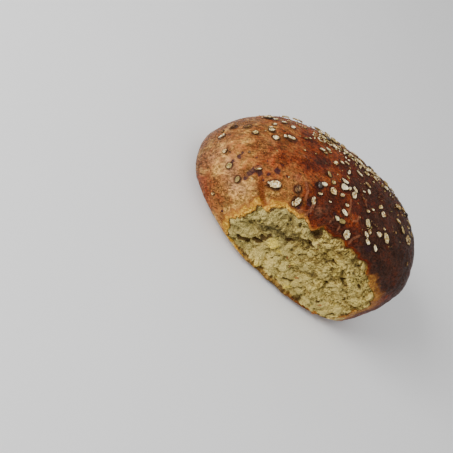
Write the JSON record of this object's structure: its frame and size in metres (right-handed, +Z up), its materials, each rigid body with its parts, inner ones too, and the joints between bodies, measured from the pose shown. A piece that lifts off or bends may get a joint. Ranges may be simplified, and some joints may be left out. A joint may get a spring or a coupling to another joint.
{
  "type": "carrot bread roll",
  "caption": "Oblong carrot bread roll with a flat base, a domed dark crust topped with oat flakes, and one long side torn open to the crumb.",
  "frame": {"origin": "on the flat base, under the middle of the roll", "axes": "+X along the roll's long side, towards its higher and darker end; +Z up through the dome; the torn side faces -Y"},
  "size_m": [0.1249, 0.0772, 0.0557],
  "materials": {
    "crust": "baked, soft sheen",
    "crumb": "torn, matte",
    "oats": "dry, matte",
    "seeds": "dark, satin",
    "carrot": "moist shreds"
  },
  "bodies": {
    "root": {"bread_roll": "crust"}
  },
  "joints": []
}
